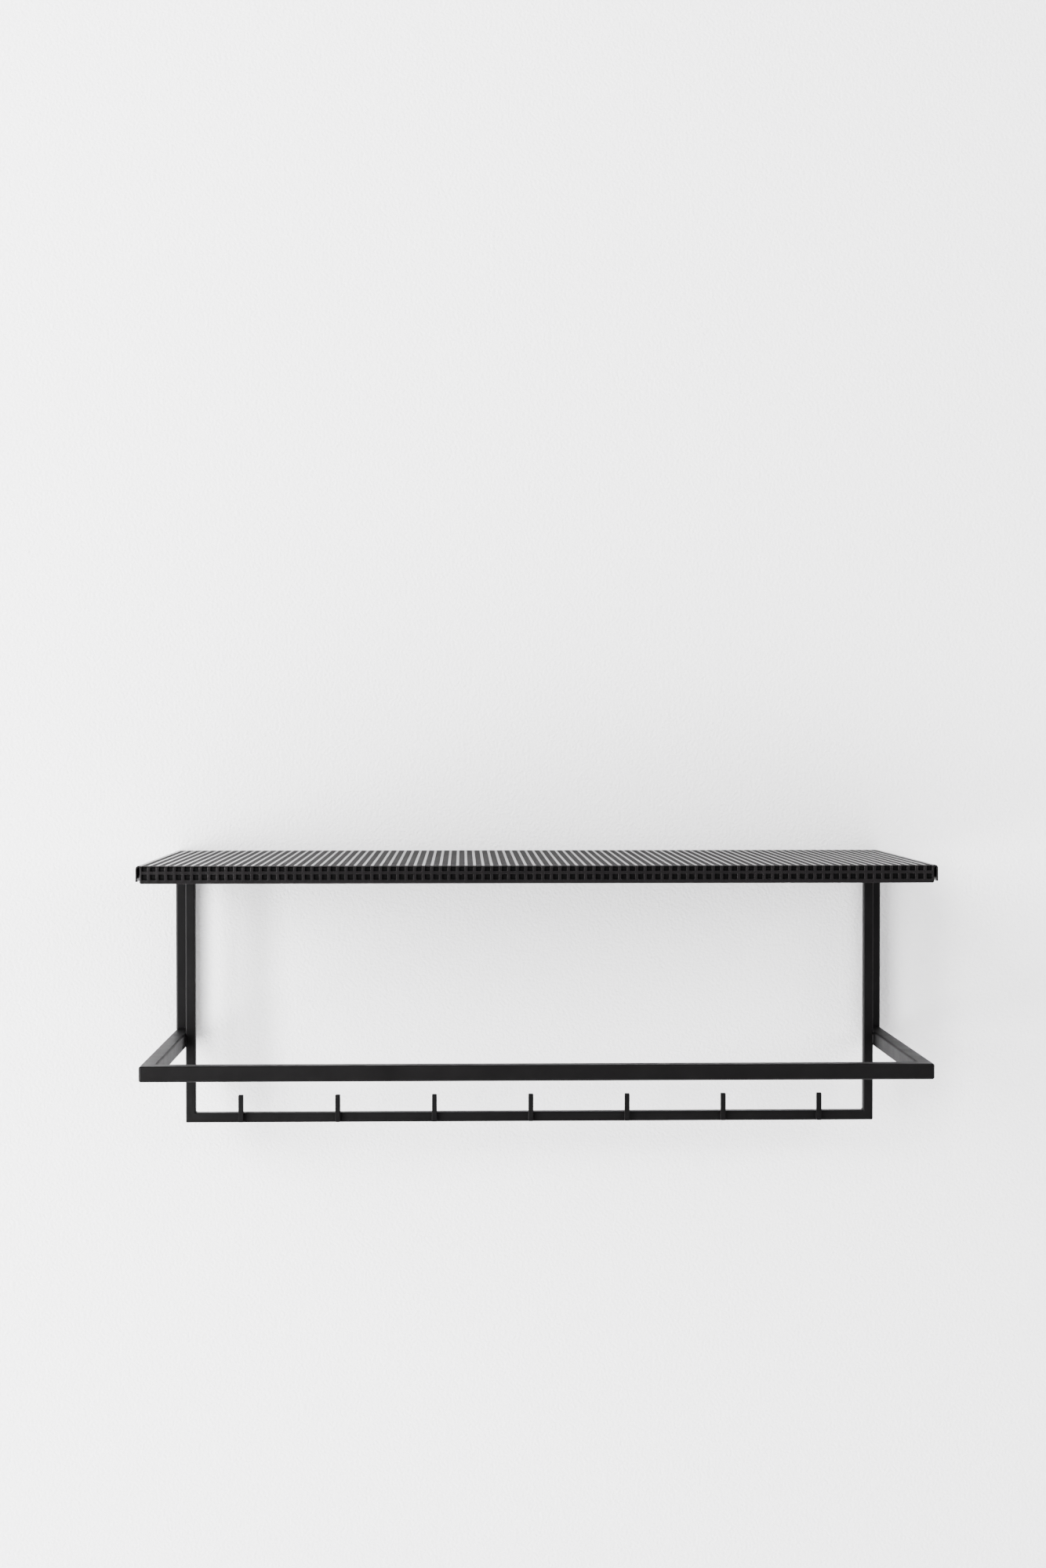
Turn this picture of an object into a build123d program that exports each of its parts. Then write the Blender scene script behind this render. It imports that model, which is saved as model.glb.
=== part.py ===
from build123d import *
import os

# Wall-mounted coat rack: a folded steel hat shelf on a welded frame of square tube,
# with a coat rail on two side arms and a drop frame that carries a rail of hook pegs.
# Millimetres. +X runs along the rack, +Y points into the wall and +Z points up.
# The origin lies on the wall, midway between the two wall screws.

# Outer frame: wall posts, side arms and coat rail in one size of square tube.
FRAME_WIDTH = 750.0
FRAME_TOP = 22.5
FRAME_TUBE = 15.0
FRAME_WALL = 1.5
FRAME_CORNER = 2.0
COAT_RAIL_REACH = 294.0
COAT_RAIL_DROP = 187.0
POST_TOP_GAP = 2.0

# Shelf frame: lighter bars under the sheet, hidden by its flanges.
SHELF_TUBE = 12.0
SHELF_WALL = 1.2
SHELF_CORNER = 1.5

# Drop frame: stands off the wall, between the side arms.
DROP_TUBE = 10.0
DROP_WALL = 1.0
DROP_CORNER = 1.2
DROP_REACH = 56.0
DROP_HEIGHT = 280.0

# Hook pegs: square bar ends welded upright on the front of the hook rail.
PEG_COUNT = 7
PEG_SIZE = 5.0
PEG_LENGTH = 28.5
PEG_END_OFFSET = 57.5
PEG_FOOT = 0.75
PEG_CHAMFER = 0.5

# Hat shelf: one sheet, folded down at the front and at both ends.
SHEET = 1.5
SHELF_WIDTH = 753.0
SHELF_DEPTH = 300.0
FOLD_RADIUS = 3.0
FRONT_FLANGE_WIDTH = 745.0
FRONT_FLANGE_HEIGHT = 16.8
END_FLANGE_HEIGHT = 15.1
END_FLANGE_SETBACK = 1.5
FLANGE_CORNER_CUT = 1.0

# Wall tabs: drilled plates under the rear bar, flush with the wall.
TAB_SPACING = 600.0
TAB_WIDTH = 24.0
TAB_THICKNESS = 3.0
TAB_EDGE = 8.5
TAB_CORNER = 5.0
TAB_HOLE_RADIUS = 2.75

# Sizes that follow from the ones above.
half_width = FRAME_WIDTH / 2
post_x = half_width - FRAME_TUBE / 2
frame_inside = half_width - FRAME_TUBE
arm_z = FRAME_TOP - COAT_RAIL_DROP - FRAME_TUBE / 2
arm_foot = arm_z - FRAME_TUBE / 2
post_top = FRAME_TOP - POST_TOP_GAP
coat_rail_y = -COAT_RAIL_REACH + FRAME_TUBE / 2
bar_z = FRAME_TOP - SHELF_TUBE / 2
side_bar_x = frame_inside + SHELF_TUBE / 2
bar_reach = SHELF_DEPTH - SHEET
front_bar_half = frame_inside + SHELF_TUBE
drop_x = frame_inside - DROP_TUBE / 2
drop_y = -DROP_REACH + DROP_TUBE / 2
drop_foot = FRAME_TOP - DROP_HEIGHT
hook_rail_z = drop_foot + DROP_TUBE / 2
peg_span = 2 * (frame_inside - PEG_END_OFFSET)
shelf_top = FRAME_TOP + SHEET

LEFT = Vector(-1, 0, 0)
RIGHT = Vector(1, 0, 0)
FORWARD = Vector(0, -1, 0)
DOWN = Vector(0, 0, -1)


def square_tube(start, direction, length, size, wall, corner):
    """A square tube with rounded corners, from its start point along a direction."""
    across = Vector(0, 1, 0) if direction == RIGHT else RIGHT
    section = RectangleRounded(size, size, corner)
    section -= RectangleRounded(size - 2 * wall, size - 2 * wall, corner - wall)
    return extrude(Plane(origin=start, x_dir=across, z_dir=direction) * section, amount=length)


def frame_tube(start, direction, length):
    """A tube of the outer frame."""
    return square_tube(start, direction, length, FRAME_TUBE, FRAME_WALL, FRAME_CORNER)


def shelf_tube(start, direction, length):
    """A bar of the shelf frame."""
    return square_tube(start, direction, length, SHELF_TUBE, SHELF_WALL, SHELF_CORNER)


def drop_tube(start, direction, length):
    """A tube of the drop frame."""
    return square_tube(start, direction, length, DROP_TUBE, DROP_WALL, DROP_CORNER)


def mitre(shape, corner_point, normal):
    """Keep the part of a tube on the side of a 45 degree cut that the normal points to."""
    return split(shape, bisect_by=Plane(origin=corner_point, z_dir=normal), keep=Keep.TOP)


def wall_post(side):
    """An upright tube against the wall, cut at its foot to meet the side arm.

    Its top stops short of the shelf sheet, clear of the inside of the end fold.
    """
    tube = frame_tube((side * post_x, -FRAME_TUBE / 2, post_top), DOWN, post_top - arm_foot)
    return mitre(tube, (side * post_x, 0, arm_foot), (0, 1, 1))


def side_arm(side):
    """A level tube from the foot of a wall post out to the coat rail, cut at both ends."""
    tube = frame_tube((side * post_x, 0, arm_z), FORWARD, COAT_RAIL_REACH)
    tube = mitre(tube, (side * post_x, 0, arm_foot), (0, -1, -1))
    return mitre(tube, (side * half_width, -COAT_RAIL_REACH, arm_z), (side, 1, 0))


def coat_rail():
    """The front tube that coat hangers go on, cut at both ends to meet the arms."""
    tube = frame_tube((-half_width, coat_rail_y, arm_z), RIGHT, FRAME_WIDTH)
    for side in (-1, 1):
        tube = mitre(tube, (side * half_width, -COAT_RAIL_REACH, arm_z), (-side, -1, 0))
    return tube


def shelf_side_bar(side):
    """A bar under one end of the shelf, from the wall post to the front bar."""
    tube = shelf_tube((side * side_bar_x, -FRAME_TUBE, bar_z), FORWARD, bar_reach - FRAME_TUBE)
    return mitre(tube, (side * front_bar_half, -bar_reach, bar_z), (side, 1, 0))


def shelf_front_bar():
    """The bar just behind the front flange, cut at both ends to meet the side bars."""
    start = (-front_bar_half, -bar_reach + SHELF_TUBE / 2, bar_z)
    tube = shelf_tube(start, RIGHT, 2 * front_bar_half)
    for side in (-1, 1):
        tube = mitre(tube, (side * front_bar_half, -bar_reach, bar_z), (-side, -1, 0))
    return tube


def shelf_rear_bar():
    """The bar along the wall, between the two posts."""
    return shelf_tube((-frame_inside, -SHELF_TUBE / 2, bar_z), RIGHT, 2 * frame_inside)


def drop_post(side):
    """An upright of the drop frame, from the shelf down to the hook rail."""
    tube = drop_tube((side * drop_x, drop_y, FRAME_TOP), DOWN, DROP_HEIGHT)
    return mitre(tube, (side * frame_inside, drop_y, drop_foot), (side, 0, 1))


def hook_rail():
    """The bottom tube of the drop frame, cut at both ends to meet its uprights."""
    tube = drop_tube((-frame_inside, drop_y, hook_rail_z), RIGHT, 2 * frame_inside)
    for side in (-1, 1):
        tube = mitre(tube, (side * frame_inside, drop_y, drop_foot), (-side, 0, -1))
    return tube


def hook_peg(index):
    """An upright square peg on the front face of the hook rail, counted from the left."""
    peg_x = -peg_span / 2 + index * peg_span / (PEG_COUNT - 1)
    centre_z = drop_foot + PEG_FOOT + PEG_LENGTH / 2
    peg = Pos(peg_x, -DROP_REACH - PEG_SIZE / 2, centre_z) * Box(PEG_SIZE, PEG_SIZE, PEG_LENGTH)
    ends = peg.faces().sort_by(Axis.Z)
    return chamfer(ends[0].edges() + ends[-1].edges(), PEG_CHAMFER)


def wall_tab(side):
    """A drilled plate that hangs from the rear bar and takes one wall screw."""
    height = FRAME_TOP - SHELF_TUBE + TAB_EDGE
    centre_z = height / 2 - TAB_EDGE
    tab = Pos(side * TAB_SPACING / 2, -TAB_THICKNESS / 2, centre_z) * Box(TAB_WIDTH, TAB_THICKNESS, height)
    lower_edges = tab.edges().filter_by(Axis.Y).sort_by(Axis.Z)[:2]
    tab = fillet(lower_edges, TAB_CORNER)
    hole = Cylinder(TAB_HOLE_RADIUS, 3 * TAB_THICKNESS, rotation=(90, 0, 0))
    return tab - Pos(side * TAB_SPACING / 2, 0, 0) * hole


def fold_section(height):
    """A folded edge seen end on: the quarter-round fold and the flange below it.

    The fold starts at the section's origin and turns down on its +X side.
    """
    ring = Circle(FOLD_RADIUS) - Circle(FOLD_RADIUS - SHEET)
    quarter = ring & Pos(FOLD_RADIUS / 2, FOLD_RADIUS / 2) * Rectangle(FOLD_RADIUS, FOLD_RADIUS)
    drop = height - FOLD_RADIUS
    flange = Pos(FOLD_RADIUS - SHEET / 2, -drop / 2) * Rectangle(SHEET, drop)
    return Pos(0, -FOLD_RADIUS) * (quarter + flange)


def hat_shelf():
    """The shelf sheet with its front flange and two end flanges, and open corners between."""
    flat_half = SHELF_WIDTH / 2 - FOLD_RADIUS
    flat_depth = SHELF_DEPTH - FOLD_RADIUS
    sheet = Pos(0, -flat_depth / 2, shelf_top - SHEET / 2) * Box(2 * flat_half, flat_depth, SHEET)
    front_plane = Plane(
        origin=(FRONT_FLANGE_WIDTH / 2, -flat_depth, shelf_top), x_dir=FORWARD, z_dir=LEFT
    )
    front = extrude(front_plane * fold_section(FRONT_FLANGE_HEIGHT), amount=FRONT_FLANGE_WIDTH)
    foot_corners = front.edges().filter_by(Axis.Y).sort_by(Axis.Z)[:2]
    sheet += chamfer(foot_corners, FLANGE_CORNER_CUT)
    end_length = SHELF_DEPTH - END_FLANGE_SETBACK
    end_plane = Plane(origin=(flat_half, 0, shelf_top), x_dir=RIGHT, z_dir=FORWARD)
    end = extrude(end_plane * fold_section(END_FLANGE_HEIGHT), amount=end_length)
    sheet += end
    sheet += mirror(end, about=Plane.YZ)
    return sheet


def build_parts():
    """Every sub-part of the rack, by node name."""
    parts = {
        "hat_shelf": hat_shelf(),
        "shelf_front_bar": shelf_front_bar(),
        "shelf_rear_bar": shelf_rear_bar(),
        "coat_rail": coat_rail(),
        "hook_rail": hook_rail(),
    }
    for side, word in ((-1, "left"), (1, "right")):
        parts[f"wall_post_{word}"] = wall_post(side)
        parts[f"side_arm_{word}"] = side_arm(side)
        parts[f"shelf_side_bar_{word}"] = shelf_side_bar(side)
        parts[f"drop_post_{word}"] = drop_post(side)
        parts[f"wall_tab_{word}"] = wall_tab(side)
    for index in range(PEG_COUNT):
        parts[f"hook_peg_{index + 1}"] = hook_peg(index)
    return parts


os.makedirs("parts", exist_ok=True)
for node, shape in build_parts().items():
    shape.label = node
    export_step(shape, f"parts/{node}.step")
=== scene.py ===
"""Looks of a wall-mounted coat rack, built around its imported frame.

A folded sheet with square perforation lies on a welded frame of square tube. The frame
carries a coat rail on two side arms, and a drop frame whose rail holds seven pegs.
Each sub-assembly is a class, and main() builds them in order. Metres, +Y into the wall.
"""

import logging
import math
from collections.abc import Callable, Sequence
from dataclasses import dataclass, field
from enum import Enum

import bmesh
import bpy
from mathutils import Matrix, Vector


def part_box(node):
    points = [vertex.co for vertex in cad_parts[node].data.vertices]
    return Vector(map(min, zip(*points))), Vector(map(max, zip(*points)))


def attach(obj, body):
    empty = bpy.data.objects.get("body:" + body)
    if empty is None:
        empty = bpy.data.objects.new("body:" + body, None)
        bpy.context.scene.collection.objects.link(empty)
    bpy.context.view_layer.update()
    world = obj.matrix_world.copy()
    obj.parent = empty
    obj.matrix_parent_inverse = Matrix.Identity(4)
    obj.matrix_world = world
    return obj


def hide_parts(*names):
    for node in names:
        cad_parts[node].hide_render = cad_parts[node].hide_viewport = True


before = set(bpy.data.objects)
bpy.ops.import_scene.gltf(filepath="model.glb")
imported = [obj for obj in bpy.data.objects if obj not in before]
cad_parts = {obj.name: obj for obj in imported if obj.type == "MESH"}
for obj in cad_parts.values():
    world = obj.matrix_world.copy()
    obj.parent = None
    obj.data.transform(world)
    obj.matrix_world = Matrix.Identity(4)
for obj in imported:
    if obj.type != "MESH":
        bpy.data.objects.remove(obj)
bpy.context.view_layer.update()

MM = 0.001
QUARTER_TURN = math.pi / 2
ROOT = "root"
VIEW_LOOK = "AgX - High Contrast"

# Face attributes that the coats read: the first marks the rounded faces, which the coat paints lighter
# as a painted sheen; the second marks the bridges that are rougher.
SHEEN_EDGE = "painted_sheen_edge"
ROUGH_BRIDGE = "rough_bridge"

# Least angle between two faces at which the shading breaks, a rim is rounded over, and
# the edge beside a chamfer is.
SHARP_ANGLE = math.radians(50)
RIM_ANGLE = math.radians(60)
CHAMFER_ANGLE = math.radians(30)

# Points nearer than this lie in one plane.
FLUSH = 1e-6

Colour = tuple[float, float, float]
Place = tuple[float, float, float]
Edges = list[bmesh.types.BMEdge]
Grower = Callable[[Edges], Edges]

LEFT = Vector((-1, 0, 0))
RIGHT = Vector((1, 0, 0))
FORWARD = Vector((0, -1, 0))
BACK = Vector((0, 1, 0))
UP = Vector((0, 0, 1))
DOWN = Vector((0, 0, -1))

log = logging.getLogger("coat_rack")


class Side(Enum):
    """An end of the rack, as the word in its node names and its sign along X."""

    LEFT = ("left", -1)
    RIGHT = ("right", 1)

    @property
    def word(self) -> str:
        """The word that ends the names of this side's nodes."""
        return self.value[0]

    @property
    def sign(self) -> int:
        """The sign of X on this side."""
        return self.value[1]

    @property
    def inward(self) -> Vector:
        """The direction from this side towards the middle of the rack."""
        return RIGHT * -self.sign


def add_noise(
    tree: bpy.types.NodeTree, place: bpy.types.NodeSocket, scale: float, detail: float
) -> bpy.types.NodeSocket:
    """Add a noise pattern to a material.

    Args:
        tree: The material's nodes.
        place: The coordinates that it follows.
        scale: Dimples per metre.
        detail: Octaves of finer noise.

    Returns:
        The noise's value socket.
    """
    noise = tree.nodes.new("ShaderNodeTexNoise")
    noise.inputs["Scale"].default_value = scale
    noise.inputs["Detail"].default_value = detail
    tree.links.new(place, noise.inputs["Vector"])
    return noise.outputs["Fac"]


def add_bump(
    tree: bpy.types.NodeTree, height: bpy.types.NodeSocket, depth: float, shader: bpy.types.Node
) -> None:
    """Add fine relief to a shader.

    Args:
        tree: The material's nodes.
        height: The relief, from 0 to 1.
        depth: Its depth from 0 to 1.
        shader: The shader that shows it.
    """
    bump = tree.nodes.new("ShaderNodeBump")
    bump.inputs["Strength"].default_value = 1.0
    bump.inputs["Distance"].default_value = depth
    tree.links.new(height, bump.inputs["Height"])
    tree.links.new(bump.outputs["Normal"], shader.inputs["Normal"])


@dataclass(frozen=True)
class PowderCoat:
    """A satin powder coat: fine orange peel, soft mottling, and a painted sheen that lightens the
    rounded edges.

    Args:
        name: Name of the material.
        slot: The record's material slot that the coat stands for. Not used.
        dark: Colour in the body of the coat.
        light: Colour where it is dusty, and of the painted sheen on the rounded edges.
        roughness: Lowest roughness of the coat.
        roughness_spread: How much rougher the dullest patches are.
        peel_size: Size of one dimple of the orange peel.
        peel_depth: Depth of the orange peel.
        gloss: Strength of its reflections, 0.5 for a full coat.
        mottled: How far the mottling goes towards the light colour.
        sheen_lift: How much further it goes on the rounded edges, a painted sheen standing in for the
            light they catch.
        bridge_roughness: How much rougher it is on the narrow bridges between the upper holes.
        ior: Refractive index of the coat.
        mottles: Patches of mottling per metre.
        mottle_detail: Octaves of finer mottling.
        grain_size: Size of one speck of the grain.
        fine_detail: Octaves of finer grain and orange peel.
        glossiest: Mottle plus grain where the coat is at its lowest roughness.
        dullest: Mottle plus grain where it is at its highest.
    """

    name: str
    slot: str
    dark: Colour = (0.0036, 0.0033, 0.0036)
    light: Colour = (0.0150, 0.0138, 0.0146)
    roughness: float = 0.24
    roughness_spread: float = 0.12
    peel_size: float = 0.9 * MM
    peel_depth: float = 0.003 * MM
    gloss: float = 0.5
    mottled: float = 0.28
    sheen_lift: float = 0.30
    bridge_roughness: float = 0.34
    ior: float = 1.52
    mottles: float = 38.0
    mottle_detail: float = 4.0
    grain_size: float = 0.35 * MM
    fine_detail: float = 2.0
    glossiest: float = 0.6
    dullest: float = 1.4

    def material(self) -> bpy.types.Material:
        """Return the coat's material, made once and then shared.

        Returns:
            The node material.
        """
        ready = bpy.data.materials.get(self.name)
        if ready is not None:
            return ready
        coat = bpy.data.materials.new(self.name)
        coat.use_nodes = True
        tree = coat.node_tree
        shader = tree.nodes["Principled BSDF"]
        shader.inputs["IOR"].default_value = self.ior
        shader.inputs["Specular IOR Level"].default_value = self.gloss
        place = tree.nodes.new("ShaderNodeTexCoord").outputs["Object"]
        mottle = add_noise(tree, place, self.mottles, self.mottle_detail)
        grain = add_noise(tree, place, 1.0 / self.grain_size, self.fine_detail)
        peel = add_noise(tree, place, 1.0 / self.peel_size, self.fine_detail)
        # The rounded faces take more of the light colour: a painted sheen on the edges.
        sheen_faces = self._attribute(tree, SHEEN_EDGE)
        sheen_lift = self._maths(tree, "MULTIPLY_ADD", sheen_faces, self.sheen_lift, self.mottled)
        tint = self._maths(tree, "MULTIPLY", mottle, sheen_lift)
        colour = tree.nodes.new("ShaderNodeMix")
        colour.data_type = "RGBA"
        colour.inputs["A"].default_value = (*self.dark, 1)
        colour.inputs["B"].default_value = (*self.light, 1)
        tree.links.new(tint, colour.inputs["Factor"])
        tree.links.new(colour.outputs["Result"], shader.inputs["Base Color"])
        dull = self._maths(tree, "ADD", mottle, grain)
        roughness = tree.nodes.new("ShaderNodeMapRange")
        roughness.inputs["From Min"].default_value = self.glossiest
        roughness.inputs["From Max"].default_value = self.dullest
        roughness.inputs["To Min"].default_value = self.roughness
        roughness.inputs["To Max"].default_value = self.roughness + self.roughness_spread
        tree.links.new(dull, roughness.inputs["Value"])
        bridge = self._attribute(tree, ROUGH_BRIDGE)
        even = roughness.outputs["Result"]
        rougher = self._maths(tree, "MULTIPLY_ADD", bridge, self.bridge_roughness, even)
        tree.links.new(rougher, shader.inputs["Roughness"])
        add_bump(tree, peel, self.peel_depth, shader)
        return coat

    @staticmethod
    def _attribute(tree: bpy.types.NodeTree, name: str) -> bpy.types.NodeSocket:
        """Read a number that the mesh carries.

        Args:
            tree: The material's nodes.
            name: Name of the attribute. A mesh without it gives 0.

        Returns:
            The number's socket.
        """
        reader = tree.nodes.new("ShaderNodeAttribute")
        reader.attribute_name = name
        return reader.outputs["Fac"]

    @staticmethod
    def _maths(
        tree: bpy.types.NodeTree,
        operation: str,
        *terms: bpy.types.NodeSocket | float,
    ) -> bpy.types.NodeSocket:
        """Add a Math node. What a multiply-add gives is kept between 0 and 1.

        Args:
            tree: The material's nodes.
            operation: Name of the operation.
            terms: Its inputs in order, as sockets or plain numbers.

        Returns:
            The result's socket.
        """
        node = tree.nodes.new("ShaderNodeMath")
        node.operation = operation
        node.use_clamp = operation == "MULTIPLY_ADD"
        for socket, term in zip(node.inputs, terms):
            if isinstance(term, float):
                socket.default_value = term
            else:
                tree.links.new(term, socket)
        return node.outputs["Value"]


FRAME_COAT = PowderCoat(
    "frame_powder_coat", "frame_coat", roughness=0.41, gloss=0.30, peel_depth=0.010 * MM
)
# The sheet's light colour is lighter than the frame's: a painted lift that keeps the sheet brighter
# than the shaded holes, with the coat's own faint warm tint.
SHEET_COAT = PowderCoat(
    "sheet_powder_coat", "sheet_coat", light=(0.0280, 0.0214, 0.0236), roughness=0.19, gloss=0.62
)
# A darker, duller copy of the frame coat for the shelf frame under the sheet: its dark colours paint
# the shade seen through the sheet's front holes.
PAINTED_SHADE_COAT = PowderCoat(
    "painted_shade_coat",
    "frame_coat",
    dark=(0.0020, 0.0020, 0.0021),
    light=(0.0060, 0.0058, 0.0060),
    roughness=0.45,
    gloss=0.2,
)


def finish_piece(
    name: str,
    bm: bmesh.types.BMesh,
    coat: PowderCoat,
    stands_for: Sequence[str] = (),
) -> bpy.types.Object:
    """Turn a modelled shape into a dressed piece that rides on the frame.

    Args:
        name: Name of the piece.
        bm: Its shape, in the frame's own coordinates. It is freed here.
        coat: Its finish.
        stands_for: CAD nodes that the piece replaces.

    Returns:
        The piece's object.
    """
    for face in bm.faces:
        face.smooth = True
    for edge in bm.edges:
        edge.smooth = not edge.is_manifold or edge.calc_face_angle() < SHARP_ANGLE
    mesh = bpy.data.meshes.new(name)
    bm.to_mesh(mesh)
    bm.free()
    mesh.materials.append(coat.material())
    piece = bpy.data.objects.new(name, mesh)
    bpy.context.scene.collection.objects.link(piece)
    shading = piece.modifiers.new("even_shading", "WEIGHTED_NORMAL")
    shading.keep_sharp = True
    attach(piece, ROOT)
    if stands_for:
        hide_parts(*stands_for)
    log.info("piece %s: %d faces", name, len(mesh.polygons))
    return piece


def extrude_edges(bm: bmesh.types.BMesh, edges: Edges) -> tuple[list[bmesh.types.BMVert], Edges]:
    """Extrude edges into a new strip of faces, without moving it yet.

    Args:
        bm: The shape.
        edges: The edges.

    Returns:
        The strip's new vertices and its far edges.
    """
    made = bmesh.ops.extrude_edge_only(bm, edges=edges)["geom"]
    verts = [g for g in made if isinstance(g, bmesh.types.BMVert)]
    fresh = set(verts)
    far = [g for g in made if isinstance(g, bmesh.types.BMEdge) and fresh.issuperset(g.verts)]
    return verts, far


def convex_edges(bm: bmesh.types.BMesh, least: float) -> Edges:
    """Find the outward corners of a shape.

    Args:
        bm: The shape, with its faces pointing outwards.
        least: Smallest angle between two faces that counts as a corner.

    Returns:
        The edges.
    """
    return [e for e in bm.edges if e.is_manifold and e.calc_face_angle_signed() > least]


def round_edges(bm: bmesh.types.BMesh, edges: Edges, radius: float, steps: int) -> None:
    """Round edges over and mark the new faces for the coat's painted sheen, which lightens them.

    Args:
        bm: The shape.
        edges: The edges to round.
        radius: Radius of the rounding.
        steps: Faces across the rounding.
    """
    sheen_faces = bm.faces.layers.float.get(SHEEN_EDGE) or bm.faces.layers.float.new(SHEEN_EDGE)
    made = bmesh.ops.bevel(
        bm,
        geom=edges,
        offset=radius,
        offset_type="OFFSET",
        affect="EDGES",
        segments=steps,
        profile=0.5,
        material=-1,
        clamp_overlap=True,
    )
    for face in made["faces"]:
        face[sheen_faces] = 1.0


@dataclass(frozen=True)
class TubeStock:
    """Square steel tube as it comes from the rack.

    Args:
        size: Width across the flats.
        wall: Wall thickness.
        corner: Outer corner radius.
        corner_steps: Faces around one corner.
        stub_sizes: Length of the stubs at mitred ends, in tube sizes.
    """

    size: float
    wall: float
    corner: float
    corner_steps: int = 6
    stub_sizes: int = 3

    def length(
        self,
        start: Vector,
        end: Vector,
        before: Vector | None = None,
        after: Vector | None = None,
    ) -> bmesh.types.BMesh:
        """Model one length of tube, mitred where another length joins it.

        The outer corner of a mitred joint is ground round, so the tube is modelled with
        a short stub of its neighbour, rounded, and then cut on the mitre.

        Args:
            start: First end of its centre line.
            end: Last end of its centre line.
            before: Direction of the length that leads into the start, if there is one.
            after: Direction of the length that leads on from the end, if there is one.

        Returns:
            The hollow tube, closed at its cut ends.
        """
        along = (end - start).normalized()
        stub = self.stub_sizes * self.size
        route = [start, end]
        if before is not None:
            route.insert(0, start - before * stub)
        if after is not None:
            route.append(end + after * stub)
        bm = self._skin(route)
        bmesh.ops.recalc_face_normals(bm, faces=bm.faces)
        round_edges(bm, convex_edges(bm, RIM_ANGLE), self.corner, self.corner_steps)
        bmesh.ops.solidify(bm, geom=bm.faces[:], thickness=self.wall)
        if before is not None:
            self._cut(bm, start, -(before + along))
        if after is not None:
            self._cut(bm, end, along + after)
        bmesh.ops.recalc_face_normals(bm, faces=bm.faces)
        return bm

    def _skin(self, route: Sequence[Vector]) -> bmesh.types.BMesh:
        """Sweep the square section along a route with mitred corners.

        Args:
            route: Corners of the centre line, first to last.

        Returns:
            The skin, open at both ends.
        """
        bm = bmesh.new()
        ways = [(b - a).normalized() for a, b in zip(route, route[1:])]
        turned = ways[0].to_track_quat("Z", "Y").to_matrix().to_4x4()
        place = Matrix.Translation(route[0]) @ turned
        bmesh.ops.create_grid(bm, x_segments=1, y_segments=1, size=self.size / 2, matrix=place)
        bmesh.ops.delete(bm, geom=bm.faces[:], context="FACES_ONLY")
        section = bm.edges[:]
        for index, way in enumerate(ways):
            last = index == len(ways) - 1
            normal = way if last else way + ways[index + 1]
            corners, section = extrude_edges(bm, section)
            for corner in corners:
                reach = (route[index + 1] - corner.co).dot(normal) / way.dot(normal)
                corner.co += way * reach
        return bm

    @staticmethod
    def _cut(bm: bmesh.types.BMesh, point: Vector, outward: Vector) -> None:
        """Saw the tube on a plane and close the sawn wall.

        Args:
            bm: The tube.
            point: A point of the plane.
            outward: The plane's normal, towards the part that falls away.
        """
        bmesh.ops.bisect_plane(
            bm,
            geom=bm.verts[:] + bm.edges[:] + bm.faces[:],
            dist=FLUSH,
            plane_co=point,
            plane_no=outward,
            clear_outer=True,
        )
        sawn = [e for e in bm.edges if e.is_boundary]
        bmesh.ops.bridge_loops(bm, edges=sawn)


@dataclass(frozen=True)
class WeldBead:
    """A small bead of weld laid along an inner corner.

    Args:
        radius: Nominal radius of the bead.
        ripple: Distance between two ripples.
        sides: Faces around the bead.
        crest: Size of a ripple's crest, as a share of the radius.
        trough: Size between two ripples.
        taper: Size at both ends.
        sink: How far the bead's middle lies inside the corner, as a share of the radius.
        least_rings: Fewest rings along a short bead.
    """

    radius: float
    ripple: float = 1.1 * MM
    sides: int = 10
    crest: float = 1.32
    trough: float = 1.2
    taper: float = 0.55
    sink: float = 0.45
    least_rings: int = 4

    def lay(self, bm: bmesh.types.BMesh, start: Vector, end: Vector, open_side: Vector) -> None:
        """Lay the bead into a shape that holds the welds of one sub-assembly.

        Args:
            bm: The shape that takes the bead.
            start: First end of the corner.
            end: Last end of the corner.
            open_side: Direction out of the corner, halfway between the two walls.
        """
        along = (end - start).normalized()
        reach = (end - start).length
        turned = along.to_track_quat("Z", "Y").to_matrix().to_4x4()
        sunk = start - open_side.normalized() * self.radius * self.sink
        first = bmesh.ops.create_circle(
            bm,
            segments=self.sides,
            radius=self.radius * self.taper,
            matrix=Matrix.Translation(sunk) @ turned,
        )["verts"]
        ring = list({e for v in first for e in v.link_edges})
        ends = [ring]
        rings = max(self.least_rings, 2 * round(reach / self.ripple))
        size = self.taper
        for step in range(1, rings + 1):
            verts, ring = extrude_edges(bm, ring)
            bmesh.ops.translate(bm, verts=verts, vec=along * reach / rings)
            wanted = self.crest if step % 2 else self.trough
            if step == rings:
                wanted = self.taper
            middle = sunk + along * reach * step / rings
            bmesh.ops.scale(
                bm, verts=verts, vec=(wanted / size,) * 3, space=Matrix.Translation(-middle)
            )
            size = wanted
        ends.append(ring)
        for loop in ends:
            bmesh.ops.contextual_create(bm, geom=loop)


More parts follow.
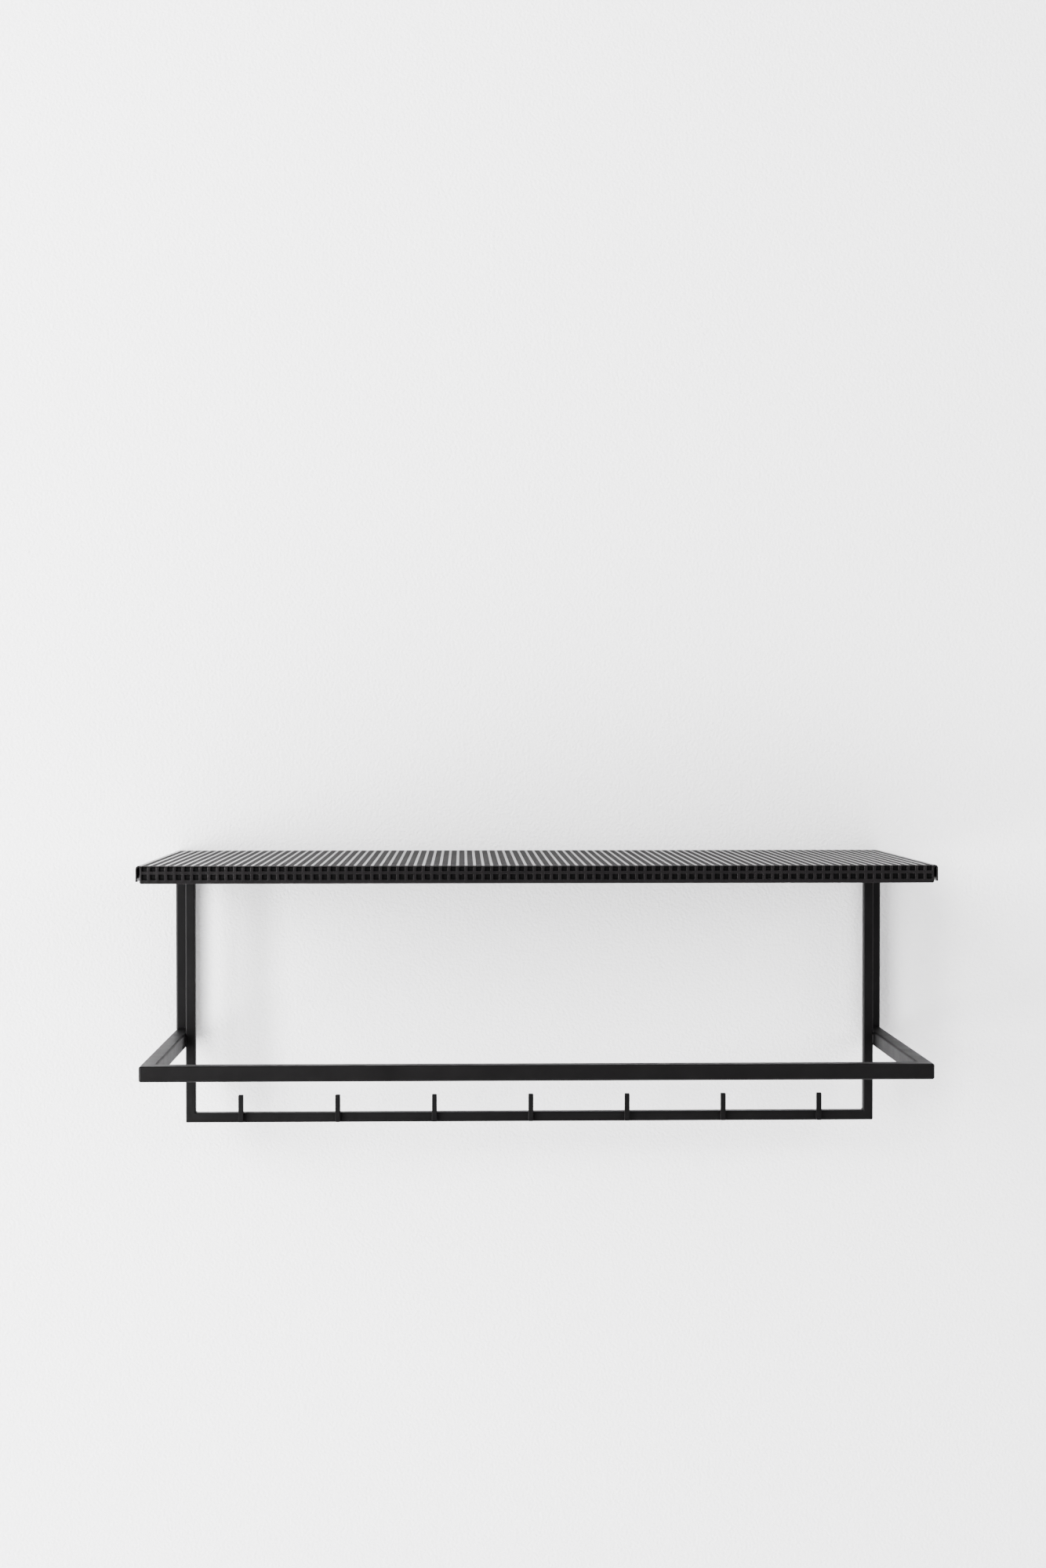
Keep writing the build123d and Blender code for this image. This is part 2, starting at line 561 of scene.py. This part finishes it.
@dataclass
class OuterFrame:
    """Wall posts, side arms and coat rail: one tube size, mitred at four corners.

    Args:
        coat: Its finish.
        wall: Wall thickness of the tube.
        corner: Outer corner radius of the tube.
        bead: The weld in each inner corner.
    """

    coat: PowderCoat = FRAME_COAT
    wall: float = 1.5 * MM
    corner: float = 2.0 * MM
    bead: WeldBead = WeldBead(1.4 * MM)
    tube: TubeStock = field(init=False)
    rail_low: Vector = field(init=False)

    def __post_init__(self) -> None:
        """Take the tube size and the coat rail's place from the frame."""
        self.rail_low, rail_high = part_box("coat_rail")
        self.tube = TubeStock(rail_high.z - self.rail_low.z, self.wall, self.corner)

    def corners(self, side: Side) -> tuple[Vector, Vector, Vector]:
        """Give the centre line of one side.

        Args:
            side: Which end of the rack.

        Returns:
            The top of the wall post, its foot, and the front end of the side arm.
        """
        low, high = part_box(f"wall_post_{side.word}")
        middle = (low + high) / 2
        half = self.tube.size / 2
        foot = Vector((middle.x, middle.y, self.rail_low.z + half))
        front = Vector((middle.x, self.rail_low.y + half, foot.z))
        return Vector((middle.x, middle.y, high.z)), foot, front

    def build(self) -> None:
        """Build the five lengths of tube and the welds between them."""
        welds = bmesh.new()
        ends = {}
        for side in Side:
            top, foot, front = self.corners(side)
            ends[side] = front
            post = self.tube.length(top, foot, after=FORWARD)
            finish_piece(f"wall_post_tube_{side.word}", post, self.coat, [f"wall_post_{side.word}"])
            arm = self.tube.length(foot, front, before=DOWN, after=side.inward)
            finish_piece(f"side_arm_tube_{side.word}", arm, self.coat, [f"side_arm_{side.word}"])
            self._weld(welds, side, foot, front)
        rail = self.tube.length(ends[Side.LEFT], ends[Side.RIGHT], before=FORWARD, after=BACK)
        finish_piece("coat_rail_tube", rail, self.coat, ["coat_rail"])
        finish_piece("outer_frame_welds", welds, self.coat)

    def _weld(self, welds: bmesh.types.BMesh, side: Side, foot: Vector, front: Vector) -> None:
        """Weld the inner corners of one side.

        Args:
            welds: The shape that takes the beads.
            side: Which end of the rack.
            foot: Centre of the mitre between post and arm.
            front: Centre of the mitre between arm and coat rail.
        """
        half = self.tube.size / 2
        flat = half - self.corner
        heel = foot + FORWARD * half + UP * half
        self.bead.lay(welds, heel + LEFT * flat, heel + RIGHT * flat, FORWARD + UP)
        crook = front + side.inward * half + BACK * half
        self.bead.lay(welds, crook + DOWN * flat, crook + UP * flat, side.inward + BACK)


@dataclass
class DropFrame:
    """The stand-off frame: two slim uprights and the hook rail with its pegs.

    Args:
        coat: Its finish.
        wall: Wall thickness of the tube.
        corner: Outer corner radius of the tube.
        bead: The weld at each joint of the uprights.
        tack: The weld on each side of a peg.
        peg_count: Number of pegs.
        peg_chamfer: Width of the chamfer round the ends of a peg.
        peg_edge: Radius of the edges of a peg.
    """

    coat: PowderCoat = FRAME_COAT
    wall: float = 1.0 * MM
    corner: float = 1.2 * MM
    bead: WeldBead = WeldBead(1.1 * MM)
    tack: WeldBead = WeldBead(0.5 * MM, ripple=0.8 * MM, sides=8)
    peg_count: int = 7
    peg_chamfer: float = 0.5 * MM
    peg_edge: float = 0.22 * MM
    tube: TubeStock = field(init=False)

    def __post_init__(self) -> None:
        """Take the tube size from the frame."""
        low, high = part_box("hook_rail")
        self.tube = TubeStock(high.z - low.z, self.wall, self.corner)

    def build(self) -> None:
        """Build the uprights, the hook rail, the pegs and their welds."""
        welds = bmesh.new()
        half = self.tube.size / 2
        flat = half - self.corner
        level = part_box("hook_rail")[0].z + half
        ends = {}
        for side in Side:
            low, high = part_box(f"drop_post_{side.word}")
            middle = (low + high) / 2
            foot = Vector((middle.x, middle.y, level))
            ends[side] = foot
            post = self.tube.length(Vector((middle.x, middle.y, high.z)), foot, after=side.inward)
            finish_piece(f"drop_post_tube_{side.word}", post, self.coat, [f"drop_post_{side.word}"])
            crook = foot + side.inward * half + UP * half
            self.bead.lay(welds, crook + FORWARD * flat, crook + BACK * flat, side.inward + UP)
            self._weld_upright(welds, side, low, high)
        rail = self.tube.length(ends[Side.LEFT], ends[Side.RIGHT], before=DOWN, after=UP)
        finish_piece("hook_rail_tube", rail, self.coat, ["hook_rail"])
        for number in range(1, self.peg_count + 1):
            self._peg(number, welds)
        finish_piece("drop_frame_welds", welds, self.coat)

    def _weld_upright(self, welds: bmesh.types.BMesh, side: Side, low: Vector, high: Vector) -> None:
        """Weld an upright to the side arm and to the shelf's side bar that it stands against.

        Args:
            welds: The shape that takes the beads.
            side: Which end of the rack.
            low: Lowest corner of the upright.
            high: Highest corner of the upright.
        """
        face = high.x if side is Side.RIGHT else low.x
        for neighbour in (f"side_arm_{side.word}", f"shelf_side_bar_{side.word}"):
            box_low, box_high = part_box(neighbour)
            inset = self.corner + self.bead.radius
            for y, way in ((low.y, FORWARD), (high.y, BACK)):
                start = Vector((face, y, box_low.z + inset))
                end = Vector((face, y, box_high.z - inset))
                self.bead.lay(welds, start, end, way + side.inward)

    def _peg(self, number: int, welds: bmesh.types.BMesh) -> None:
        """Build one peg with chamfered ends, and tack it to the rail on both sides.

        Args:
            number: The peg's number from the left, from 1.
            welds: The shape that takes the tacks.
        """
        node = f"hook_peg_{number}"
        low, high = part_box(node)
        peg = bmesh.new()
        place = Matrix.Translation((low + high) / 2) @ Matrix.Diagonal((*(high - low), 1))
        bmesh.ops.create_cube(peg, size=1.0, matrix=place)
        ends = [e for e in peg.edges if abs(e.verts[0].co.z - e.verts[1].co.z) < FLUSH]
        round_edges(peg, ends, self.peg_chamfer, steps=1)
        round_edges(peg, convex_edges(peg, CHAMFER_ANGLE), self.peg_edge, steps=2)
        finish_piece(f"peg_{number}", peg, self.coat, [node])
        rail_low, rail_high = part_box("hook_rail")
        inset = self.corner + self.tack.radius
        for x, way in ((low.x, LEFT), (high.x, RIGHT)):
            start = Vector((x, rail_low.y, rail_low.z + inset))
            end = Vector((x, rail_low.y, rail_high.z - inset))
            self.tack.lay(welds, start, end, FORWARD + way)


@dataclass
class ShelfFrame:
    """The lighter bars under the sheet, and the drilled tabs that hang from the rear one.

    Args:
        coat: Its finish, a darker copy of the frame coat whose colour paints the shade seen through
            the sheet's holes.
        wall: Wall thickness of the tube.
        corner: Outer corner radius of the tube.
        corner_steps: Faces around one corner of the tube.
        bead: The weld at each joint.
    """

    coat: PowderCoat = PAINTED_SHADE_COAT
    wall: float = 1.2 * MM
    corner: float = 1.5 * MM
    corner_steps: int = 4
    bead: WeldBead = WeldBead(1.1 * MM)
    tube: TubeStock = field(init=False)

    def __post_init__(self) -> None:
        """Take the tube size from the frame."""
        low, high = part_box("shelf_front_bar")
        self.tube = TubeStock(high.z - low.z, self.wall, self.corner, self.corner_steps)

    def build(self) -> None:
        """Build the four bars, dress the wall tabs and weld them in."""
        welds = bmesh.new()
        half = self.tube.size / 2
        flat = half - self.corner
        front_low, front_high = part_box("shelf_front_bar")
        front_y = (front_low.y + front_high.y) / 2
        level = (front_low.z + front_high.z) / 2
        ends = {}
        for side in Side:
            low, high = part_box(f"shelf_side_bar_{side.word}")
            middle_x = (low.x + high.x) / 2
            rear = Vector((middle_x, high.y, level))
            front = Vector((middle_x, front_y, level))
            ends[side] = front
            bar = self.tube.length(rear, front, after=side.inward)
            finish_piece(f"side_bar_tube_{side.word}", bar, self.coat, [f"shelf_side_bar_{side.word}"])
            crook = front + side.inward * half + BACK * half
            self.bead.lay(welds, crook + DOWN * flat, crook + UP * flat, side.inward + BACK)
            heel = rear + DOWN * half
            self.bead.lay(welds, heel + LEFT * flat, heel + RIGHT * flat, FORWARD + DOWN)
        bar = self.tube.length(ends[Side.LEFT], ends[Side.RIGHT], before=FORWARD, after=BACK)
        finish_piece("front_bar_tube", bar, self.coat, ["shelf_front_bar"])
        self._rear_bar(welds)
        finish_piece("shelf_frame_welds", welds, self.coat)

    def _rear_bar(self, welds: bmesh.types.BMesh) -> None:
        """Build the rear bar and weld it to the posts and to the tabs.

        Args:
            welds: The shape that takes the beads.
        """
        low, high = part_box("shelf_rear_bar")
        middle = (low + high) / 2
        start = Vector((low.x, middle.y, middle.z))
        end = Vector((high.x, middle.y, middle.z))
        finish_piece("rear_bar_tube", self.tube.length(start, end), self.coat, ["shelf_rear_bar"])
        flat = self.tube.size / 2 - self.corner
        for side in Side:
            face = low.x if side is Side.LEFT else high.x
            joint = Vector((face, low.y, middle.z))
            self.bead.lay(welds, joint + DOWN * flat, joint + UP * flat, FORWARD + side.inward)
            node = f"wall_tab_{side.word}"
            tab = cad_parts[node]
            # The tabs take the same darker coat that paints the shade behind the sheet.
            tab.data.materials[0] = self.coat.material()
            tab_low, tab_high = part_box(node)
            inset = 2 * self.bead.radius
            bead_start = Vector((tab_low.x + inset, tab_low.y, tab_high.z))
            bead_end = Vector((tab_high.x - inset, tab_low.y, tab_high.z))
            self.bead.lay(welds, bead_start, bead_end, FORWARD + DOWN)
            log.info("CAD node %s: coated", node)


@dataclass
class HatShelf:
    """The shelf sheet: square perforation, folded down at the front and at both ends.

    The sheet is punched before it is folded, so the perforation runs on at one pitch from
    the back of the sheet, over the front fold and down the front flange.

    Args:
        coat: Its finish.
        sheet: Thickness of the sheet.
        fold: Outer radius of the folds.
        fold_steps: Faces across a fold, or across the punched part of the front one.
        plain_steps: Faces across the plain part of the front fold.
        hole: Side of a square hole.
        pitch: Distance between the middles of two holes.
        columns: Number of holes from end to end.
        top_rows: Number of rows of holes that lie on the flat of the shelf.
        fold_row_lead: Length of sheet from the start of the front fold to the middle of
            the row of holes on it.
        front_width: Width of the front flange.
        end_height: Height of the end flanges.
        end_setback: How far the end flanges stop short of the front.
        corner_cut: Cut across the lower corners of the front flange.
        rim: Width of the rounding along the sheet's edges.
    """

    coat: PowderCoat = SHEET_COAT
    sheet: float = 1.5 * MM
    fold: float = 3.0 * MM
    fold_steps: int = 6
    plain_steps: int = 2
    hole: float = 5.0 * MM
    pitch: float = 8.0 * MM
    columns: int = 93
    top_rows: int = 36
    fold_row_lead: float = 3.25 * MM
    front_width: float = 745.0 * MM
    end_height: float = 15.1 * MM
    end_setback: float = 1.5 * MM
    corner_cut: float = 1.0 * MM
    rim: float = 0.45 * MM
    low: Vector = field(init=False)
    high: Vector = field(init=False)
    blanks: list[bmesh.types.BMFace] = field(init=False, default_factory=list)

    def __post_init__(self) -> None:
        """Take the sheet's place from the frame."""
        self.low, self.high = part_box("hat_shelf")

    @property
    def flat_half(self) -> float:
        """Half the width between the two end folds."""
        return self.high.x - self.fold

    @property
    def flat_front(self) -> float:
        """Where the front fold starts, along Y."""
        return self.low.y + self.fold

    def build(self) -> None:
        """Build the sheet as one folded piece."""
        bm = self._flat_top()
        self._fold_front(bm)
        self._fold_ends(bm)
        bmesh.ops.delete(bm, geom=self.blanks, context="FACES")
        bmesh.ops.recalc_face_normals(bm, faces=bm.faces)
        if bm.faces[:][0].normal.z < 0:
            bmesh.ops.reverse_faces(bm, faces=bm.faces)
        bmesh.ops.solidify(bm, geom=bm.faces[:], thickness=self.sheet)
        bmesh.ops.recalc_face_normals(bm, faces=bm.faces)
        round_edges(bm, convex_edges(bm, RIM_ANGLE), self.rim, steps=1)
        bridges = bm.faces.layers.float.new(ROUGH_BRIDGE)
        for face in bm.faces:
            middle = face.calc_center_median()
            face[bridges] = float(middle.y > self.flat_front and self._in_column(middle.x))
        finish_piece("hat_shelf_sheet", bm, self.coat, ["hat_shelf"])

    def _lines(self, low: float, high: float, first: float, count: int) -> list[float]:
        """List the lines along which one direction of the sheet is divided.

        Args:
            low: Lowest edge of the sheet.
            high: Highest edge of the sheet.
            first: Middle of the first hole.
            count: Number of holes.

        Returns:
            Both edges of the sheet, and between them both edges of each hole.
        """
        middles = (first + index * self.pitch for index in range(count))
        edges = [m + side * self.hole / 2 for m in middles for side in (-1, 1)]
        return [low, *edges, high]

    def _flat_top(self) -> bmesh.types.BMesh:
        """Make the flat of the sheet, with its holes marked out.

        Returns:
            The flat, at the height of the sheet's upper face.
        """
        first_column = -(self.columns - 1) / 2 * self.pitch
        across = self._lines(-self.flat_half, self.flat_half, first_column, self.columns)
        first_row = self.flat_front - self.fold_row_lead + self.pitch
        deep = self._lines(self.flat_front, self.high.y, first_row, self.top_rows)
        bm = bmesh.new()
        wide, long = len(across) - 1, len(deep) - 1
        half_grid = 0.5
        bmesh.ops.create_grid(bm, x_segments=wide, y_segments=long, size=half_grid)
        for face in bm.faces:
            middle = face.calc_center_median()
            column = int((middle.x + half_grid) * wide)
            row = int((middle.y + half_grid) * long)
            if column % 2 and row % 2:
                self.blanks.append(face)
        for vert in bm.verts:
            column = round((vert.co.x + half_grid) * wide)
            row = round((vert.co.y + half_grid) * long)
            vert.co = (across[column], deep[row], self.high.z)
        return bm

    def _in_column(self, x: float) -> bool:
        """Tell whether a place along X lies in a column of holes."""
        nearest = round(x / self.pitch)
        return abs(nearest) <= self.columns // 2 and abs(x - nearest * self.pitch) < self.hole / 2

    def _band(self, bm: bmesh.types.BMesh, edges: Edges, grow: Grower, punched: bool) -> Edges:
        """Carry the sheet on by one band, and mark out its holes.

        Args:
            bm: The sheet.
            edges: The edges that it ends on.
            grow: Makes the band from those edges and returns its far edges.
            punched: Whether the band lies in a row of holes.

        Returns:
            The band's far edges.
        """
        before = set(bm.faces)
        far = grow(edges)
        if punched:
            made = [f for f in bm.faces if f not in before]
            self.blanks += [f for f in made if self._in_column(f.calc_center_median().x)]
        return far

    @staticmethod
    def _push(bm: bmesh.types.BMesh, edges: Edges, move: Vector) -> Edges:
        """Extrude edges straight.

        Args:
            bm: The sheet.
            edges: The edges.
            move: How far, and which way.

        Returns:
            The new far edges.
        """
        verts, far = extrude_edges(bm, edges)
        bmesh.ops.translate(bm, verts=verts, vec=move)
        return far

    @staticmethod
    def _turn(
        bm: bmesh.types.BMesh,
        edges: Edges,
        centre: Vector,
        axis: Vector,
        angle: float,
        steps: int,
    ) -> Edges:
        """Extrude edges round a fold.

        Args:
            bm: The sheet.
            edges: The edges.
            centre: A point of the fold's axis.
            axis: Direction of the axis.
            angle: How far to turn.
            steps: Faces across the turn.

        Returns:
            The new far edges.
        """
        last = bmesh.ops.spin(
            bm, geom=edges, cent=centre, axis=axis, angle=angle, steps=steps, use_merge=False
        )["geom_last"]
        return [g for g in last if isinstance(g, bmesh.types.BMEdge)]

    def _fold_front(self, bm: bmesh.types.BMesh) -> None:
        """Fold the front down, with one row of holes over the fold and one below it.

        Args:
            bm: The sheet.
        """
        start = self.flat_front
        edges = [e for e in bm.edges if all(abs(v.co.y - start) < FLUSH for v in e.verts)]
        centre = Vector((0, start, self.high.z - self.fold))
        middle_radius = self.fold - self.sheet / 2
        plain_turn = (self.fold_row_lead - self.hole / 2) / middle_radius
        punched_turn = QUARTER_TURN - plain_turn
        below_fold = self.fold_row_lead + self.hole / 2 - QUARTER_TURN * middle_radius
        bar = self.pitch - self.hole
        height = self.high.z - self.low.z
        foot = height - self.fold - below_fold - bar - self.hole

        def turn(angle: float, steps: int) -> Grower:
            """Make a grower that turns by an angle."""
            return lambda found: self._turn(bm, found, centre, RIGHT, angle, steps)

        def drop(distance: float) -> Grower:
            """Make a grower that goes straight down."""
            return lambda found: self._push(bm, found, DOWN * distance)

        bands = (
            (turn(plain_turn, self.plain_steps), False),
            (turn(punched_turn, self.fold_steps), True),
            (drop(below_fold), True),
            (drop(bar), False),
            (drop(self.hole), True),
            (drop(foot), False),
        )
        for grow, punched in bands:
            edges = self._band(bm, edges, grow, punched)
        half = self.front_width / 2
        for vert in bm.verts:
            if vert.co.y < start - FLUSH and abs(vert.co.x) > half:
                vert.co.x = math.copysign(half, vert.co.x)
        corners = [v for v in bm.verts if v.co.z < self.low.z + FLUSH and abs(v.co.x) > half - FLUSH]
        bmesh.ops.bevel(
            bm,
            geom=corners,
            offset=self.corner_cut,
            affect="VERTICES",
            segments=1,
            profile=0.5,
            material=-1,
        )

    def _fold_ends(self, bm: bmesh.types.BMesh) -> None:
        """Fold both ends down and carry them on past the open front corners.

        Args:
            bm: The sheet.
        """
        for side in Side:
            x = side.sign * self.flat_half
            edges = [e for e in bm.edges if all(abs(v.co.x - x) < FLUSH for v in e.verts)]
            centre = Vector((x, 0, self.high.z - self.fold))
            before = set(bm.verts)
            edges = self._turn(bm, edges, centre, BACK, side.sign * QUARTER_TURN, self.fold_steps)
            self._push(bm, edges, DOWN * (self.end_height - self.fold))
            grown = [v for v in bm.verts if v not in before]
            rim = {v for v in grown if abs(v.co.y - self.flat_front) < FLUSH}
            tip = [e for e in bm.edges if e.is_boundary and e.verts[0] in rim and e.verts[1] in rim]
            self._push(bm, tip, FORWARD * (self.fold - self.end_setback))


@dataclass
class Stage:
    """The pale wall behind the rack and the pale floor below it.

    Args:
        half: Half the width of the wall and of the floor.
        hung_at: Height of the wall screws above the floor.
        clear: Gap between the rack and the wall.
        paint: Colour of the paint.
        roughness: Roughness of the paint.
        gloss: Strength of its reflections.
        nap_scale: Dimples of the roller's texture per metre.
        nap_detail: Octaves of finer texture.
        nap_depth: Depth of the texture.
    """

    half: float = 4.0
    hung_at: float = 1.72
    clear: float = 0.4 * MM
    paint: Colour = (0.86, 0.86, 0.865)
    roughness: float = 0.9
    gloss: float = 0.2
    nap_scale: float = 320.0
    nap_detail: float = 3.0
    nap_depth: float = 0.9 * MM

    def build(self) -> None:
        """Build the wall and the floor, which aren't part of the rack."""
        wall = self._sheet("stage_wall", Matrix.Rotation(QUARTER_TURN, 4, "X"), BACK * self.clear)
        wall.data.materials.append(self._plaster("stage_plaster", see_through=True))
        floor = self._sheet("stage_floor", Matrix.Identity(4), DOWN * self.hung_at)
        floor.data.materials.append(self._plaster("stage_floor_paint", see_through=False))

    def _sheet(self, name: str, turned: Matrix, place: Vector) -> bpy.types.Object:
        """Make one flat of the stage.

        Args:
            name: Its name.
            turned: How it is turned.
            place: Where its middle is.

        Returns:
            The flat.
        """
        bm = bmesh.new()
        spot = Matrix.Translation(place) @ turned
        bmesh.ops.create_grid(bm, x_segments=1, y_segments=1, size=self.half, matrix=spot)
        mesh = bpy.data.meshes.new(name)
        bm.to_mesh(mesh)
        bm.free()
        flat = bpy.data.objects.new(name, mesh)
        bpy.context.scene.collection.objects.link(flat)
        return flat

    def _plaster(self, name: str, see_through: bool) -> bpy.types.Material:
        """Make a matt paint with the faint texture of a roller.

        Args:
            name: Name of the material.
            see_through: Whether its back can be looked through, for views from behind.

        Returns:
            The material.
        """
        paint = bpy.data.materials.new(name)
        paint.use_nodes = True
        tree = paint.node_tree
        shader = tree.nodes["Principled BSDF"]
        shader.inputs["Base Color"].default_value = (*self.paint, 1)
        shader.inputs["Roughness"].default_value = self.roughness
        shader.inputs["Specular IOR Level"].default_value = self.gloss
        place = tree.nodes.new("ShaderNodeTexCoord").outputs["Object"]
        nap = add_noise(tree, place, self.nap_scale, self.nap_detail)
        add_bump(tree, nap, self.nap_depth, shader)
        if see_through:
            clear = tree.nodes.new("ShaderNodeBsdfTransparent")
            pick = tree.nodes.new("ShaderNodeMixShader")
            face = tree.nodes.new("ShaderNodeNewGeometry")
            tree.links.new(face.outputs["Backfacing"], pick.inputs["Fac"])
            tree.links.new(shader.outputs["BSDF"], pick.inputs[1])
            tree.links.new(clear.outputs["BSDF"], pick.inputs[2])
            tree.links.new(pick.outputs["Shader"], tree.nodes["Material Output"].inputs["Surface"])
        return paint


@dataclass(frozen=True)
class SoftLight:
    """A soft rectangular light.

    Args:
        name: Its name.
        place: Where its middle is.
        aim: The point that it faces.
        wide: Its width.
        high: Its height.
        power: Its power in watts.
    """

    name: str
    place: Place
    aim: Place
    wide: float
    high: float
    power: float

    def build(self) -> None:
        """Hang the light."""
        lamp = bpy.data.lights.new(self.name, "AREA")
        lamp.shape = "RECTANGLE"
        lamp.size, lamp.size_y = self.wide, self.high
        lamp.energy = self.power
        hung = bpy.data.objects.new(self.name, lamp)
        hung.location = self.place
        way = Vector(self.aim) - Vector(self.place)
        hung.rotation_euler = way.to_track_quat("-Z", "Y").to_euler()
        hung.visible_camera = False
        bpy.context.scene.collection.objects.link(hung)


@dataclass
class Studio:
    """Soft daylight from the left, a weaker fill, and a dim pale room all round.

    Args:
        lights: The soft lights, from the left round to the right.
        room: Colour of the room.
        room_strength: Brightness of the room.
        look: Contrast of the view.
    """

    lights: tuple[SoftLight, ...] = (
        SoftLight(
            name="window_near_wall",
            place=(-3.79, -2.61, 1.1),
            aim=(0.0, 0.0, 1.1),
            wide=0.89,
            high=5.4,
            power=266.0,
        ),
        SoftLight(
            name="window_beside",
            place=(-3.11, -3.39, 1.1),
            aim=(0.0, 0.0, 1.1),
            wide=1.21,
            high=5.4,
            power=168.0,
        ),
        SoftLight(
            name="bright_room",
            place=(-1.94, -4.17, 1.1),
            aim=(0.0, 0.0, 1.1),
            wide=1.62,
            high=5.4,
            power=28.0,
        ),
        SoftLight(
            name="far_room",
            place=(4.22, -2.69, 1.5),
            aim=(0.0, 0.0, 0.0),
            wide=5.2,
            high=2.3,
            power=110.0,
        ),
    )
    room: Colour = (1.0, 0.982, 0.995)
    room_strength: float = 0.60
    look: str = VIEW_LOOK

    def build(self) -> None:
        """Light the scene."""
        for light in self.lights:
            light.build()
        world = bpy.data.worlds.new("room")
        world.use_nodes = True
        background = world.node_tree.nodes["Background"]
        background.inputs["Color"].default_value = (*self.room, 1)
        background.inputs["Strength"].default_value = self.room_strength
        bpy.context.scene.world = world
        bpy.context.scene.view_settings.look = self.look


@dataclass
class Camera:
    """A view from the front, a little left of the middle and above the shelf.

    Args:
        left: How far it stands left of the middle.
        away: How far it stands from the wall.
        above_shelf: Its height above the top of the shelf.
        lens: Focal length of its lens, in millimetres.
        down: How far it looks down.
        right: How far it looks to the right.
    """

    left: float = 0.0715
    away: float = 2.397
    above_shelf: float = 0.114
    lens: float = 51.46
    down: float = math.radians(1.03)
    right: float = math.radians(1.55)

    def build(self) -> None:
        """Set up the camera."""
        shelf_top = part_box("hat_shelf")[1].z
        camera = bpy.data.objects.new("camera", bpy.data.cameras.new("camera"))
        camera.data.lens = self.lens
        camera.location = (-self.left, -self.away, shelf_top + self.above_shelf)
        camera.rotation_euler = (QUARTER_TURN - self.down, 0, -self.right)
        bpy.context.scene.collection.objects.link(camera)
        bpy.context.scene.camera = camera


def main() -> None:
    """Build the rack's looks, the stage, the lights and the camera."""
    logging.basicConfig(level=logging.INFO, format="%(message)s")
    Camera().build()
    HatShelf().build()
    OuterFrame().build()
    ShelfFrame().build()
    DropFrame().build()
    Stage().build()
    Studio().build()


if __name__ == "__main__":
    main()
